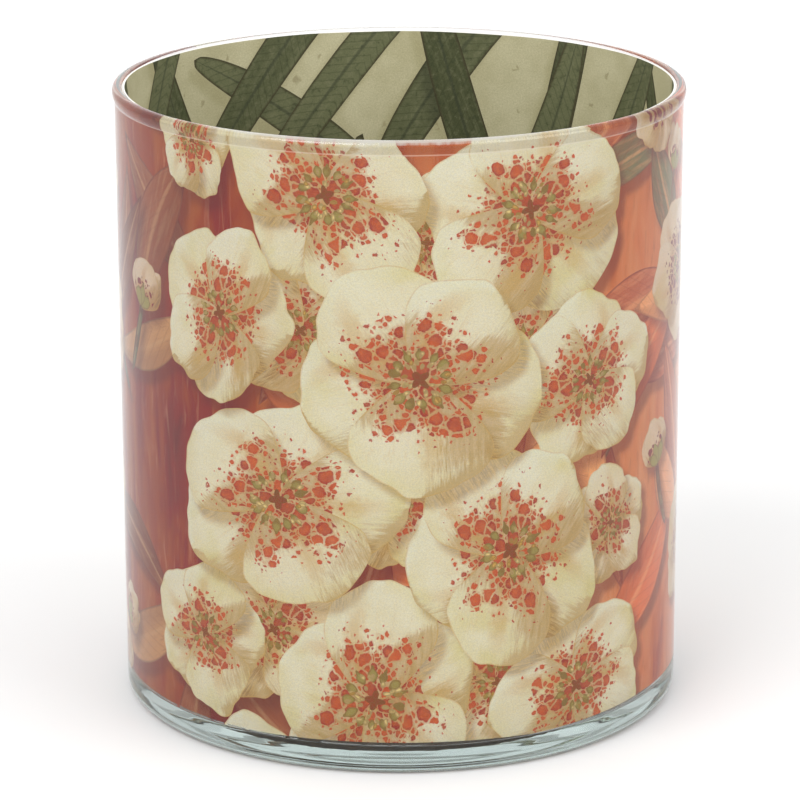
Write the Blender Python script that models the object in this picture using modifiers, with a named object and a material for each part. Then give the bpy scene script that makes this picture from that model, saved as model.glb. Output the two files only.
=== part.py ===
"""Glass desk cup lined with printed paper, for Blender 4.5.

A clear, round, straight-sided glass cup with a thick base and a rolled lip.
Inside it are four pieces of printed paper: a sleeve whose print faces out
through the glass wall, a disc whose print faces down through the glass base,
and over those a lining sleeve and a lining disc that face the inside of the
cup. Metres, +Z up. The origin is the centre of the foot, on the table.
"""

import math

import bmesh
import bpy

MM = 0.001

# ---- driving dimensions, in millimetres -----------------------------------
CUP_HEIGHT = 99.6
BODY_RADIUS = 44.85         # outside of the straight wall
WALL = 1.25                 # glass wall
LIP_BULGE = 0.35            # how far the rolled lip stands proud of the wall
LIP_HEIGHT = 2.15           # height of the rolled lip
HEEL_RADIUS = 2.0           # outside rounding between wall and foot
FLOOR_Z = 4.2               # top of the glass base
FLOOR_FILLET = 0.8          # inside rounding between base and wall
FOOT_OUTER = BODY_RADIUS - HEEL_RADIUS
FOOT_INNER = 35.5           # the foot is a flat ring from here outwards
PUNT = 0.8                  # how far the middle of the underside is hollowed

PAPER = 0.20                # paper with its glue and varnish
GAP = 0.30                  # room kept between neighbouring pieces
LAP = 6.0                   # length of each sleeve's glued seam
LAP_GAP = 0.05              # glue line inside that seam
SLEEVE_TOP = 99.2

TURN_STEPS = 72

# Stack of radii, from the glass inwards
INNER_RADIUS = BODY_RADIUS - WALL                       # 43.6
PRINT_OUT = INNER_RADIUS - GAP                          # 43.3
PRINT_BOTTOM = 4.95
LINING_OUT = PRINT_OUT - 2 * PAPER - LAP_GAP - GAP      # clears the print's seam
LINING_BOTTOM = 5.06
BASE_DISC_RADIUS = 42.3
BASE_DISC_Z = FLOOR_Z + GAP
FLOOR_DISC_RADIUS = LINING_OUT - 2 * PAPER - LAP_GAP - GAP - 0.04
FLOOR_DISC_Z = BASE_DISC_Z + PAPER + GAP


def clear_scene():
    for obj in list(bpy.data.objects):
        bpy.data.objects.remove(obj, do_unlink=True)


def make_collection(name):
    collection = bpy.data.collections.new(name)
    bpy.context.scene.collection.children.link(collection)
    return collection


def make_material(name, colour, roughness, metallic=0.0, transmission=0.0, ior=1.5):
    material = bpy.data.materials.new(name)
    material.use_nodes = True
    shader = material.node_tree.nodes["Principled BSDF"]
    shader.inputs["Base Color"].default_value = (*colour, 1.0)
    shader.inputs["Roughness"].default_value = roughness
    shader.inputs["Metallic"].default_value = metallic
    shader.inputs["Transmission Weight"].default_value = transmission
    shader.inputs["IOR"].default_value = ior
    return material


def arc(centre, radius, start_deg, end_deg, count):
    """Points on an arc in the profile plane, ends included."""
    points = []
    for i in range(count + 1):
        a = math.radians(start_deg + (end_deg - start_deg) * i / count)
        points.append((centre[0] + radius * math.cos(a), centre[1] + radius * math.sin(a)))
    return points


def smooth_through(points, steps):
    """Catmull-Rom curve through the given points, ends included."""
    ext = [points[0]] + list(points) + [points[-1]]
    out = []
    for i in range(1, len(ext) - 2):
        p0, p1, p2, p3 = ext[i - 1], ext[i], ext[i + 1], ext[i + 2]
        for s in range(steps):
            t = s / steps
            out.append(
                tuple(
                    0.5
                    * (
                        2 * p1[k]
                        + (p2[k] - p0[k]) * t
                        + (2 * p0[k] - 5 * p1[k] + 4 * p2[k] - p3[k]) * t * t
                        + (3 * p1[k] - p0[k] - 3 * p2[k] + p3[k]) * t ** 3
                    )
                    for k in (0, 1)
                )
            )
    out.append(points[-1])
    return out


def glass_profile():
    """The cup's section, from the middle of the inside floor, up the inside,
    over the lip, down the outside and back to the middle of the underside."""
    inside = INNER_RADIUS
    points = [(0.0, FLOOR_Z), (14.0, FLOOR_Z), (28.0, FLOOR_Z), (inside - FLOOR_FILLET, FLOOR_Z)]
    points += arc((inside - FLOOR_FILLET, FLOOR_Z + FLOOR_FILLET), FLOOR_FILLET, -90, 0, 5)[1:]
    points += [(inside, 28.0), (inside, 52.0), (inside, 76.0)]
    top = CUP_HEIGHT
    lip = [
        (inside, top - 1.30),
        (inside + 0.01, top - 0.60),
        (inside + 0.10, top - 0.24),
        (inside + 0.34, top - 0.04),
        (inside + 0.70, top),
        (inside + 1.10, top - 0.10),
        (BODY_RADIUS + LIP_BULGE * 0.62, top - 0.40),
        (BODY_RADIUS + LIP_BULGE, top - 0.85),
        (BODY_RADIUS + LIP_BULGE * 0.94, top - 1.30),
        (BODY_RADIUS + LIP_BULGE * 0.58, top - 1.78),
        (BODY_RADIUS, top - LIP_HEIGHT),
    ]
    points += smooth_through(lip, 2)
    points += [(BODY_RADIUS, 74.0), (BODY_RADIUS, 50.0), (BODY_RADIUS, 26.0)]
    points += arc((FOOT_OUTER, HEEL_RADIUS), HEEL_RADIUS, 0, -90, 6)
    points += [(FOOT_INNER, 0.0), (FOOT_INNER - 2.4, 0.22), (FOOT_INNER - 8.0, PUNT * 0.72)]
    points += [(14.0, PUNT), (0.0, PUNT)]
    return points


def turned(name, profile, steps, material, collection):
    """A solid turned about Z from a section given in millimetres."""
    mesh = bpy.data.meshes.new(name)
    verts = [(r * MM, 0.0, z * MM) for r, z in profile]
    mesh.from_pydata(verts, [(i, i + 1) for i in range(len(verts) - 1)], [])
    obj = bpy.data.objects.new(name, mesh)
    collection.objects.link(obj)
    screw = obj.modifiers.new("Turn", "SCREW")
    screw.axis = "Z"
    screw.angle = math.radians(360)
    screw.steps = steps
    screw.render_steps = steps
    screw.use_merge_vertices = True
    screw.merge_threshold = 0.00001
    screw.use_smooth_shade = True
    mesh.materials.append(material)
    return obj


def sheet_radius(along, length, outer, lap, step):
    """Radius of the sheet's outer face at a distance along it: the last stretch
    tucks in behind the start of the sheet to make the glued seam."""
    tuck = 3.0
    if along <= length - tuck:
        return outer
    if along >= length:
        return outer - step
    t = (along - (length - tuck)) / tuck
    return outer - step * t * t * (3 - 2 * t)


def rolled_sheet(name, outer, bottom, top, seam_deg, material, collection):
    """A sheet of paper rolled into a sleeve with a lapped, glued seam."""
    step = PAPER + LAP_GAP
    length = 2 * math.pi * outer
    total = length + LAP
    turns = TURN_STEPS + 4
    stations = [total * i / turns for i in range(turns + 1)]
    stations += [length - 3.0, length - 1.5, length]
    stations = sorted(set(round(s, 6) for s in stations))
    bm = bmesh.new()
    low, high = [], []
    for along in stations:
        r = sheet_radius(along, length, outer, LAP, step)
        a = math.radians(seam_deg) + along / outer
        x, y = r * math.cos(a) * MM, r * math.sin(a) * MM
        low.append(bm.verts.new((x, y, bottom * MM)))
        high.append(bm.verts.new((x, y, top * MM)))
    for i in range(len(stations) - 1):
        bm.faces.new((low[i], low[i + 1], high[i + 1], high[i]))
    mesh = bpy.data.meshes.new(name)
    bm.to_mesh(mesh)
    bm.free()
    obj = bpy.data.objects.new(name, mesh)
    collection.objects.link(obj)
    thick = obj.modifiers.new("Paper", "SOLIDIFY")
    thick.thickness = PAPER * MM
    thick.offset = -1.0
    thick.use_even_offset = True
    mesh.materials.append(material)
    mesh.shade_smooth()
    return obj


def paper_disc(name, radius, bottom, segments, material, collection):
    """A cut disc of paper lying flat."""
    bm = bmesh.new()
    bmesh.ops.create_cone(
        bm,
        cap_ends=True,
        cap_tris=False,
        segments=segments,
        radius1=radius * MM,
        radius2=radius * MM,
        depth=PAPER * MM,
    )
    mesh = bpy.data.meshes.new(name)
    bm.to_mesh(mesh)
    bm.free()
    obj = bpy.data.objects.new(name, mesh)
    collection.objects.link(obj)
    obj.location = (0.0, 0.0, (bottom + PAPER / 2) * MM)
    mesh.materials.append(material)
    return obj


def main():
    clear_scene()
    cup = make_collection("lined_glass_desk_cup")

    glass = make_material("clear_glass", (0.90, 0.97, 0.96), 0.02, transmission=1.0, ior=1.5)
    print_paper = make_material("outer_print_paper", (0.83, 0.66, 0.47), 0.45)
    lining_paper = make_material("inner_lining_paper", (0.42, 0.45, 0.28), 0.6)
    base_paper = make_material("base_print_paper", (0.60, 0.61, 0.55), 0.6)

    turned("glass_tumbler", glass_profile(), TURN_STEPS, glass, cup)
    rolled_sheet("outer_print_sleeve", PRINT_OUT, PRINT_BOTTOM, SLEEVE_TOP, 97.5, print_paper, cup)
    rolled_sheet("inner_lining_sleeve", LINING_OUT, LINING_BOTTOM, SLEEVE_TOP, 247.5, lining_paper, cup)
    paper_disc("base_print_disc", BASE_DISC_RADIUS, BASE_DISC_Z, 64, base_paper, cup)
    paper_disc("floor_lining_disc", FLOOR_DISC_RADIUS, FLOOR_DISC_Z, 64, lining_paper, cup)


main()
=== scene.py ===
"""Looks of the paper-lined glass desk cup: clear glass, printed paper glued
behind it, and a lining of leaf-patterned paper. Blender 4.5."""
import math

import bpy
import numpy as np
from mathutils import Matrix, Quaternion, Vector, kdtree
from mathutils.geometry import delaunay_2d_cdt


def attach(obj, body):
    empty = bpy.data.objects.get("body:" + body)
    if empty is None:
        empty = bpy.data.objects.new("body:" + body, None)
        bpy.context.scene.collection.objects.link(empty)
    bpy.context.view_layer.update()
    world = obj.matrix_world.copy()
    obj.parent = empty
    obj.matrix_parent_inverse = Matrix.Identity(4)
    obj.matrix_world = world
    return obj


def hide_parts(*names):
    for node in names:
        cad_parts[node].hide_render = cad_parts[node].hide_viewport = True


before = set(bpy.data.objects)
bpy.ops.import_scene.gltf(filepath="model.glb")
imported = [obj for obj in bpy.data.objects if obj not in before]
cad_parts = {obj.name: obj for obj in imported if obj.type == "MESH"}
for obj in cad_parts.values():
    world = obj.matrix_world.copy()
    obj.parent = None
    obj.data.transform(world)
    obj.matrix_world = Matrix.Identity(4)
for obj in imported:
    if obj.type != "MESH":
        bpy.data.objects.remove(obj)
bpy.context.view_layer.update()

MM = 0.001

# ---- sizes in millimetres, as in the CAD model ------------------------------
HEIGHT = 99.6
BODY_R = 44.85
WALL = 1.25
INNER_R = BODY_R - WALL
LIP_BULGE = 0.35
LIP_H = 2.15
HEEL_R = 2.0
FLOOR_Z = 4.2
FILLET = 0.8
FOOT_OUT = BODY_R - HEEL_R
FOOT_IN = 35.5
PUNT = 0.8
SHEET = 0.2                      # paper
SHEET_TOP = 99.2
PRINT_LOW = 4.95
LINING_LOW = 5.06
LAP = 6.0

PRINT_R = INNER_R + 0.04         # glued: the print touches the glass
LINING_R = PRINT_R - SHEET - 0.03
SEAM_PRINT = 97.5
SEAM_LINING = 247.5


# ---- camera, floor and light -------------------------------------------------
def look_at(obj, target):
    d = Vector(target) - obj.location
    obj.rotation_euler = d.to_track_quat("-Z", "Y").to_euler()


def add_camera():
    data = bpy.data.cameras.new("camera")
    data.lens = 171.1
    data.sensor_width = 36.0
    data.clip_start = 0.01
    data.clip_end = 100.0
    cam = bpy.data.objects.new("camera", data)
    bpy.context.scene.collection.objects.link(cam)
    el, dist, aim = math.radians(16.36), 0.6139, 0.04698
    cam.location = (0.0, -dist * math.cos(el), aim + dist * math.sin(el))
    look_at(cam, (0.0, 0.0, aim))
    turn = cam.rotation_euler.to_quaternion() @ Quaternion((0.0, 0.0, 1.0), math.radians(-0.16))
    cam.rotation_euler = turn.to_euler()
    bpy.context.scene.camera = cam


def area_light(name, location, target, size, watts, colour=(1, 1, 1)):
    data = bpy.data.lights.new(name, "AREA")
    data.shape = "RECTANGLE"
    data.size, data.size_y = size
    data.energy = watts
    data.color = colour
    light = bpy.data.objects.new(name, data)
    light.location = location
    bpy.context.scene.collection.objects.link(light)
    look_at(light, target)
    return light


# ---- node building ------------------------------------------------------------
class Nodes:
    """Small helper that builds a material's node tree."""

    def __init__(self, name):
        self.material = bpy.data.materials.new(name)
        self.material.use_nodes = True
        self.tree = self.material.node_tree
        self.tree.nodes.clear()
        self.out = self.tree.nodes.new("ShaderNodeOutputMaterial")

    def put(self, socket, value):
        if isinstance(value, bpy.types.NodeSocket):
            self.tree.links.new(value, socket)
        elif isinstance(value, (tuple, list)):
            value = tuple(value)
            if socket.type == "RGBA" and len(value) == 3:
                value = value + (1.0,)
            socket.default_value = value
        elif value is not None:
            socket.default_value = value

    def node(self, kind, **props):
        n = self.tree.nodes.new(kind)
        for k, v in props.items():
            setattr(n, k, v)
        return n

    def math(self, op, a, b=None, c=None, clamp=False):
        n = self.node("ShaderNodeMath", operation=op, use_clamp=clamp)
        for i, v in enumerate((a, b, c)):
            if v is not None:
                self.put(n.inputs[i], v)
        return n.outputs[0]

    def add(self, a, b):
        return self.math("ADD", a, b)

    def sub(self, a, b):
        return self.math("SUBTRACT", a, b)

    def mul(self, a, b, clamp=False):
        return self.math("MULTIPLY", a, b, clamp=clamp)

    def inv(self, a):
        return self.math("SUBTRACT", 1.0, a, clamp=True)

    def smooth(self, x, lo, hi, out0=0.0, out1=1.0):
        n = self.node("ShaderNodeMapRange", interpolation_type="SMOOTHSTEP")
        for i, v in enumerate((x, lo, hi, out0, out1)):
            self.put(n.inputs[i], v)
        return n.outputs[0]

    def mix(self, fac, a, b, mode="MIX"):
        n = self.node("ShaderNodeMix", data_type="RGBA", blend_type=mode)
        self.put(n.inputs[0], fac)
        self.put(n.inputs[6], a)
        self.put(n.inputs[7], b)
        return n.outputs[2]

    def lerp(self, fac, a, b):
        n = self.node("ShaderNodeMix", data_type="FLOAT")
        self.put(n.inputs[0], fac)
        self.put(n.inputs[2], a)
        self.put(n.inputs[3], b)
        return n.outputs[0]

    def attr(self, name):
        return self.node("ShaderNodeAttribute", attribute_name=name).outputs["Fac"]

    def attrv(self, name):
        return self.node("ShaderNodeAttribute", attribute_name=name).outputs["Vector"]

    def vec(self, v, scale=(1, 1, 1), move=(0, 0, 0)):
        n = self.node("ShaderNodeMapping")
        self.put(n.inputs["Vector"], v)
        n.inputs["Scale"].default_value = scale
        n.inputs["Location"].default_value = move
        return n.outputs[0]

    def sep(self, v):
        n = self.node("ShaderNodeSeparateXYZ")
        self.put(n.inputs[0], v)
        return n.outputs

    def comb(self, x=0.0, y=0.0, z=0.0):
        n = self.node("ShaderNodeCombineXYZ")
        for i, v in enumerate((x, y, z)):
            self.put(n.inputs[i], v)
        return n.outputs[0]

    def vadd(self, a, b):
        n = self.node("ShaderNodeVectorMath", operation="ADD")
        self.put(n.inputs[0], a)
        self.put(n.inputs[1], b)
        return n.outputs[0]

    def vscale(self, a, k):
        n = self.node("ShaderNodeVectorMath", operation="SCALE")
        self.put(n.inputs[0], a)
        self.put(n.inputs["Scale"], k)
        return n.outputs[0]

    def noise(self, vector, scale=1.0, detail=2.0, rough=0.5, warp=0.0, colour=False):
        n = self.node("ShaderNodeTexNoise", noise_dimensions="3D")
        self.put(n.inputs["Vector"], vector)
        n.inputs["Scale"].default_value = scale
        n.inputs["Detail"].default_value = detail
        n.inputs["Roughness"].default_value = rough
        n.inputs["Distortion"].default_value = warp
        return n.outputs["Color" if colour else "Fac"]

    def voronoi(self, vector, scale=1.0, feature="F1", rand=1.0, dims="3D"):
        n = self.node("ShaderNodeTexVoronoi", feature=feature, voronoi_dimensions=dims)
        self.put(n.inputs["Vector"], vector)
        n.inputs["Scale"].default_value = scale
        n.inputs["Randomness"].default_value = rand
        return n.outputs

    def ramp(self, fac, stops, mode="EASE"):
        n = self.node("ShaderNodeValToRGB")
        n.color_ramp.interpolation = mode
        e = n.color_ramp.elements
        while len(e) < len(stops):
            e.new(0.5)
        for i, (p, c) in enumerate(stops):
            e[i].position = p
            e[i].color = (*c, 1.0)
        self.put(n.inputs[0], fac)
        return n.outputs[0]

    def principled(self, **values):
        n = self.node("ShaderNodeBsdfPrincipled")
        for k, v in values.items():
            self.put(n.inputs[k.replace("_", " ")], v)
        self.tree.links.new(n.outputs[0], self.out.inputs["Surface"])
        return n

    def bump(self, height, strength, distance):
        n = self.node("ShaderNodeBump")
        n.inputs["Strength"].default_value = strength
        n.inputs["Distance"].default_value = distance
        self.put(n.inputs["Height"], height)
        return n.outputs[0]


def rgb(r, g, b):
    """A display colour, 0 to 255, as a linear one."""
    out = []
    for c in (r, g, b):
        c /= 255.0
        out.append(c / 12.92 if c <= 0.04045 else ((c + 0.055) / 1.055) ** 2.4)
    return tuple(out)


# ---- flat geometry -------------------------------------------------------------
def inside(px, py, poly):
    """Which points lie inside a closed polygon."""
    x0, y0 = poly[:, 0][:, None], poly[:, 1][:, None]
    x1, y1 = np.roll(poly[:, 0], -1)[:, None], np.roll(poly[:, 1], -1)[:, None]
    over = (y0 > py) != (y1 > py)
    with np.errstate(divide="ignore", invalid="ignore"):
        cross = (x1 - x0) * (py - y0) / (y1 - y0) + x0
    return (np.where(over, px < cross, False).sum(0) % 2).astype(bool)


def edge_distance(px, py, poly):
    """Distance from points to a closed polygon's outline."""
    a = poly
    b = np.roll(poly, -1, axis=0)
    best = np.full(len(px), 1e9)
    for k in range(0, len(px), 4000):
        x, y = px[k : k + 4000][:, None], py[k : k + 4000][:, None]
        dx, dy = (b - a)[:, 0][None], (b - a)[:, 1][None]
        t = ((x - a[:, 0]) * dx + (y - a[:, 1]) * dy) / np.maximum(dx * dx + dy * dy, 1e-12)
        t = t.clip(0, 1)
        d = (x - a[:, 0] - t * dx) ** 2 + (y - a[:, 1] - t * dy) ** 2
        best[k : k + 4000] = np.sqrt(d.min(1))
    return best


def ease(x, lo, hi):
    t = ((x - lo) / (hi - lo)).clip(0, 1)
    return t * t * (3 - 2 * t)


def even_points(poly, step):
    """The same outline with its points about step apart."""
    loop = np.vstack([poly, poly[:1]])
    seg = np.sqrt((np.diff(loop, axis=0) ** 2).sum(1))
    at = np.concatenate([[0], np.cumsum(seg)])
    n = max(8, int(round(at[-1] / step)))
    s = np.linspace(0, at[-1], n, endpoint=False)
    return np.stack([np.interp(s, at, loop[:, 0]), np.interp(s, at, loop[:, 1])], 1)


class Shape:
    """One painted shape on a flat sheet, with its own axis: x runs along it, y across."""

    def __init__(self, kind, local, origin, angle, length, half, rnd, tone=0.0,
                 squash=1.0, lean=0.0, bend=0.0, group=-1, casts=False, step=0.5):
        self.kind, self.angle, self.length, self.half = kind, angle, length, half
        self.rnd, self.tone, self.squash, self.lean, self.bend = rnd, tone, squash, lean, bend
        self.group, self.casts = group, casts
        self.origin = np.array(origin, float)
        self.poly = even_points(self.to_sheet(local), step)
        self.z = 0

    def to_sheet(self, p):
        c, s = math.cos(self.angle), math.sin(self.angle)
        x, y = c * p[:, 0] - s * p[:, 1], s * p[:, 0] + c * p[:, 1]
        cl, sl = math.cos(self.lean), math.sin(self.lean)
        a, b = (cl * x + sl * y) * self.squash, -sl * x + cl * y
        return np.stack([cl * a - sl * b, sl * a + cl * b], 1) + self.origin

    def to_local(self, px, py):
        x, y = px - self.origin[0], py - self.origin[1]
        cl, sl = math.cos(self.lean), math.sin(self.lean)
        a, b = (cl * x + sl * y) / self.squash, -sl * x + cl * y
        x, y = cl * a - sl * b, sl * a + cl * b
        c, s = math.cos(self.angle), math.sin(self.angle)
        return c * x + s * y, -s * x + c * y

    def moved(self, dx):
        import copy
        other = copy.copy(self)
        other.origin = self.origin + (dx, 0.0)
        other.poly = self.poly + (dx, 0.0)
        return other


def petal_half(s, half):
    """Half the width of a petal, at s from its base (0) to its tip (1)."""
    s = np.clip(s, 1e-4, 1 - 1e-4)
    return half * 2 * np.sqrt(s * (1 - s)) * (0.62 + 0.38 * ease(s, 0.0, 0.62)) * (1 - 0.10 * ease(s, 0.72, 1.0))


def petal_outline(length, half, rng, ruffle=0.4):
    a = np.linspace(0, 2 * np.pi, 240, endpoint=False)
    s = 0.5 * (1 - np.cos(a))
    x = s * length
    y = np.sign(np.sin(a)) * petal_half(s, half)
    out = ease(s, 0.25, 0.8)
    nx, ny = -np.cos(a), np.sin(a)
    wave = np.zeros_like(a)
    for k, amp in ((3, 0.9), (5, 0.7), (8, 0.55), (12, 0.35), (17, 0.22)):
        wave += amp * np.sin(k * a + rng.uniform(0, 2 * np.pi))
    wave *= ruffle * out * 0.6
    tip = np.exp(-(((s - 1.0) / 0.035) ** 2)) * rng.uniform(-0.3, 0.9)
    return np.stack([x + nx * wave + tip, y + ny * wave], 1)


def blade_outline(length, half, bend, power=1.0, n=90):
    """A long leaf that bows sideways by bend."""
    s = np.linspace(0, 1, n)
    w = half * np.sin(np.pi * s ** 0.8) ** power
    mid = bend * 4 * s * (1 - s)
    return np.vstack([np.stack([s * length, mid + w], 1), np.stack([s * length, mid - w], 1)[::-1][1:-1]])


def round_outline(a, b, rng, rough=0.1):
    t = np.linspace(0, 2 * np.pi, 28, endpoint=False)
    r = 1 + rough * (np.sin(2 * t + rng.uniform(0, 6.3)) + 0.6 * np.sin(3 * t + rng.uniform(0, 6.3)))
    return np.stack([a * r * np.cos(t), b * r * np.sin(t)], 1)


GROUND, LEAF, PETAL, HEART = 0, 1, 2, 3


def blossom(shapes, centre, radius, turn, rng, group, tilt, lean, far=0.0):
    """An open five-petalled flower with a tuft of stamens."""
    order = [0, 2, 4, 1, 3]
    for k in order:
        a = turn + 2 * math.pi * k / 5 + rng.uniform(-0.09, 0.09)
        length = radius * rng.uniform(0.94, 1.06)
        half = length * rng.uniform(0.53, 0.60)
        shapes.append(Shape(PETAL, petal_outline(length, half, rng), centre, a, length, half,
                            rng.uniform(0, 1), tone=far, squash=tilt, lean=lean, group=group, casts=True,
                            step=0.5))
    n = 13
    for k in range(n):
        a = turn + 2 * math.pi * (k + rng.uniform(-0.2, 0.2)) / n
        r0 = radius * 0.15
        at = (centre[0] + r0 * math.cos(a), centre[1] + r0 * math.sin(a))
        ln = radius * rng.uniform(0.085, 0.12)
        shapes.append(Shape(HEART, petal_outline(ln, ln * 0.36, rng, 0.0), at, a, ln, ln * 0.36,
                            rng.uniform(0, 1), tone=0.12, group=group, step=0.32))
    for k in range(30):
        a = rng.uniform(0, 2 * math.pi)
        r0 = radius * 0.235 * math.sqrt(rng.uniform(0.12, 1.0))
        at = (centre[0] + r0 * math.cos(a), centre[1] + r0 * math.sin(a))
        ln = radius * rng.uniform(0.024, 0.034)
        shapes.append(Shape(HEART, round_outline(ln, ln * 0.62, rng), at, a + rng.uniform(-0.6, 0.6), ln * 2, ln,
                            rng.uniform(0, 1), tone=rng.choice([0.4, 0.45, 0.6]), group=group, step=0.25))
    for k in range(4):
        a = turn + 2 * math.pi * k / 4 + 0.4
        r0 = radius * 0.035
        at = (centre[0] + r0 * math.cos(a), centre[1] + r0 * math.sin(a))
        ln = radius * 0.038
        shapes.append(Shape(HEART, round_outline(ln * 1.3, ln * 0.7, rng), at, a, ln * 2, ln,
                            rng.uniform(0, 1), tone=0.85, group=group, step=0.25))


def bud(shapes, centre, angle, size, rng, group):
    """A closed flower bud on a short stalk."""
    c, s = math.cos(angle), math.sin(angle)
    stalk = size * 1.9
    start = (centre[0] - stalk * c, centre[1] - stalk * s)
    shapes.append(Shape(LEAF, blade_outline(stalk * 1.25, size * 0.13, rng.uniform(-1, 1), 0.4), start, angle,
                        stalk * 1.25, size * 0.13, rng.uniform(0, 1), tone=0.9, group=group, casts=True, step=0.4))
    for turn, part in ((-0.42, 0.42), (0.42, 0.42), (0.0, 0.52)):
        ln = size * rng.uniform(1.15, 1.3)
        shapes.append(Shape(PETAL, petal_outline(ln, ln * part, rng, 0.15), centre, angle + turn, ln, ln * part,
                            rng.uniform(0, 1), tone=1.0, group=group, casts=True, step=0.4))
    for turn in (-0.75, 0.1, 0.8):
        ln = size * rng.uniform(0.5, 0.62)
        shapes.append(Shape(HEART, petal_outline(ln, ln * 0.30, rng, 0.0), centre, angle + turn, ln, ln * 0.30,
                            rng.uniform(0, 1), tone=0.12, group=group, step=0.3))


# blossoms: distance round the cup from the middle of a cluster, height, radius
CLUSTER = [(-11, 91, 17.5), (20, 88, 18.0), (-29, 71, 14.0), (3, 63, 19.0), (31, 60, 14.0), (-19, 43, 18.5),
           (17, 35, 18.0), (-33, 19, 12.0), (-4, 12, 18.5), (29, 11, 15.5), (-23, -7, 15.5), (12, -10, 15.5),
           (-34, 97, 9.0)]
UNDER = [(-15, 70, 13.0), (19, 67, 12.5), (-1, 44, 12.0), (4, 84, 12.0), (-20, 22, 12.5), (15, 14, 12.5), (36, 36, 10.0)]
LOOSE = [(60, 72, 12.5), (65, 26, 11.0), (-69, 84, 7.5), (-69, 34, 7.5), (49, 101, 9.0)]


def print_shapes(span, height, low):
    """The outer print: two clusters of freckled cream blossoms over long leaves."""
    rng = np.random.RandomState(21)
    shapes, spots = [], []
    middle = math.radians(270.0 - SEAM_PRINT) * PRINT_R
    for side in (0, 1):
        for i, (u, v, r) in enumerate(CLUSTER + UNDER + LOOSE):
            if side:
                u, v = -u + rng.uniform(-3, 3), 92.0 - v + rng.uniform(-3, 3)
            depth = (i >= len(CLUSTER)) + (i >= len(CLUSTER) + len(UNDER))
            spots.append(((middle + side * span / 2 + u) % span, v, r, depth))
    # leaves and stems under the flowers
    for i, (u, v, r, depth) in enumerate(spots):
        for k in range((3, 1, 4)[depth]):
            a = rng.uniform(0, 2 * math.pi)
            ln = rng.uniform(22, 34)
            half = rng.uniform(3.4, 5.2)
            bend = rng.uniform(-3.0, 3.0)
            start = (u + 0.45 * r * math.cos(a), v + 0.45 * r * math.sin(a))
            shapes.append(Shape(LEAF, blade_outline(ln, half, bend), start, a, ln, half,
                                rng.uniform(0, 1), tone=rng.choice([0.1, 0.3, 0.3, 0.5, 0.5, 0.7, 0.9]),
                                bend=bend, group=100 + i, casts=True, step=0.6))
    for side in (0, 1):
        for k, (u, v, a) in enumerate(((50, 42, 1.9), (-49, 68, 1.2), (-62, 62, 2.2), (56, 88, 1.4), (-60, 14, 0.6))):
            bud(shapes, ((middle + side * span / 2 + u) % span, v), a + side * 0.5, rng.uniform(5.5, 6.5), rng, 300 + 10 * side + k)
    order = rng.permutation(len(spots))
    for i in sorted(order, key=lambda i: -spots[i][3]):
        u, v, r, depth = spots[i]
        blossom(shapes, (u, v), r * rng.uniform(0.97, 1.05), rng.uniform(0, 2 * math.pi), rng, i,
                rng.uniform(0.80, 1.0), rng.uniform(0, math.pi), (0.0, 0.22, 1.0)[depth])
    return shapes


def lining_shapes(span, height, low, seed=12):
    """The lining: dark leaves tossed over a pale ground, two layers deep."""
    rng = np.random.RandomState(seed)
    shapes = []
    n_u = max(3, int(round(span / 25.0)))
    n_v = max(2, int(round(height / 17.0)))
    cells = [(r, c) for r in range(n_v) for c in range(n_u)]
    for i in rng.permutation(len(cells)):
        r, c = cells[i]
        u = (c + rng.uniform(0.05, 0.95)) * span / n_u
        v = low + (r + rng.uniform(0.05, 0.95)) * height / n_v
        a = rng.choice([-1.0, 1.0]) * rng.uniform(0.35, 1.50) + rng.choice([0.0, math.pi])
        ln = rng.uniform(64, 96)
        half = rng.uniform(2.9, 3.9)
        bend = rng.uniform(-7.0, 7.0)
        start = (u - 0.5 * ln * math.cos(a), v - 0.5 * ln * math.sin(a))
        shapes.append(Shape(LEAF, blade_outline(ln, half, bend, 0.5), start, a, ln, half,
                            rng.uniform(0, 1), tone=rng.uniform(0, 1), bend=bend, group=r * 50 + c,
                            casts=True, step=0.6))
    return shapes


def base_shapes(seed=5):
    """The base print: leaves laid across the middle of a pale ground."""
    rng = np.random.RandomState(seed)
    shapes = []
    for x, y, a, ln, half in ((-10, 22, 0.45, 36, 4.6), (-12, 10, 0.30, 40, 4.2), (0, 34, -1.2, 30, 3.8),
                              (-27, -9.9, 0.0, 52, 2.3)):
        # the leaf at the front bows along the arc where the disc is pressed onto the glass, as part of the painted
        # shade
        bend = -9.0 if y < 0 else rng.uniform(-0.8, 0.8)
        shapes.append(Shape(LEAF, blade_outline(ln, half, bend, 0.7), (x, y), a, ln, half,
                            rng.uniform(0, 1), tone=rng.uniform(0, 1), bend=bend, group=len(shapes),
                            casts=True, step=0.6))
    return shapes


def wrap_copies(shapes, span, low, high):
    """Adds the copies that a pattern needs to run on round the sheet."""
    out = []
    for s in shapes:
        x0, x1 = s.poly[:, 0].min(), s.poly[:, 0].max()
        y0, y1 = s.poly[:, 1].min(), s.poly[:, 1].max()
        if y1 < low - 3 or y0 > high + 3:
            continue
        for k in (-1, 0, 1):
            if x1 + k * span > -3 and x0 + k * span < span + LAP + 3:
                out.append(s if k == 0 else s.moved(k * span))
    for i, s in enumerate(out):
        s.z = i + 1
    return out


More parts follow.
